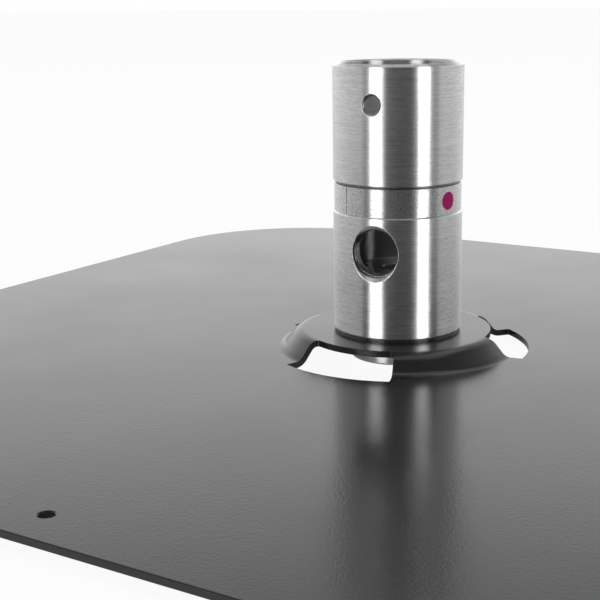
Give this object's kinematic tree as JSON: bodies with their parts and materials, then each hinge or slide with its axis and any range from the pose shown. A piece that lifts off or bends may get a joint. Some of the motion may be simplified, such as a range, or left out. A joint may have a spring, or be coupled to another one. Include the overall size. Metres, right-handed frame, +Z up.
{
  "type": "square stand base with pole socket",
  "caption": "Square steel base plate with rounded corners, a raised boss with arc windows and a metal pole socket whose upper sleeve unscrews.",
  "frame": {"origin": "middle of the base on the floor, under the axis of the pole socket", "axes": "+Z up along the pole socket, plate sides along X and Y, -Y is the front, the side that the two radial holes face"},
  "size_m": [0.4, 0.4, 0.1095],
  "materials": {
    "powder_coat": "charcoal powder coat on steel, fine orange peel, half gloss",
    "tube_metal": "turned and brushed round the axis, satin",
    "band_metal": "bead blasted, matte",
    "fastener_steel": "zinc plated",
    "dark_plastic": "matte",
    "foot_rubber": "matte"
  },
  "bodies": {
    "base": {"base_plate": "powder_coat", "foot_front_left": "foot_rubber", "foot_front_right": "foot_rubber", "foot_rear_left": "foot_rubber", "foot_rear_right": "foot_rubber", "clamp_disc": "tube_metal", "base_bolt": "fastener_steel", "locating_pin_left": "fastener_steel", "locating_pin_right": "fastener_steel", "seat_washer": "dark_plastic", "lower_body": "tube_metal", "marking_band": "band_metal"},
    "ring": {"slip_ring": "dark_plastic"},
    "sleeve": {"upper_sleeve": "tube_metal"}
  },
  "joints": [
    {"name": "sleeve_turn", "type": "hinge", "parent": "base", "child": "ring", "pos_m": [0, 0, 0.067], "axis": [0, 0, 1], "range_deg": [0, 2160]},
    {"name": "sleeve_lift", "type": "slide", "parent": "ring", "child": "sleeve", "axis": [0, 0, 1], "range_m": [0, 0.009]}
  ],
  "couplings": [
    {"joint": "sleeve_lift", "follows": "sleeve_turn", "m_per_rad": 0.00023873}
  ]
}
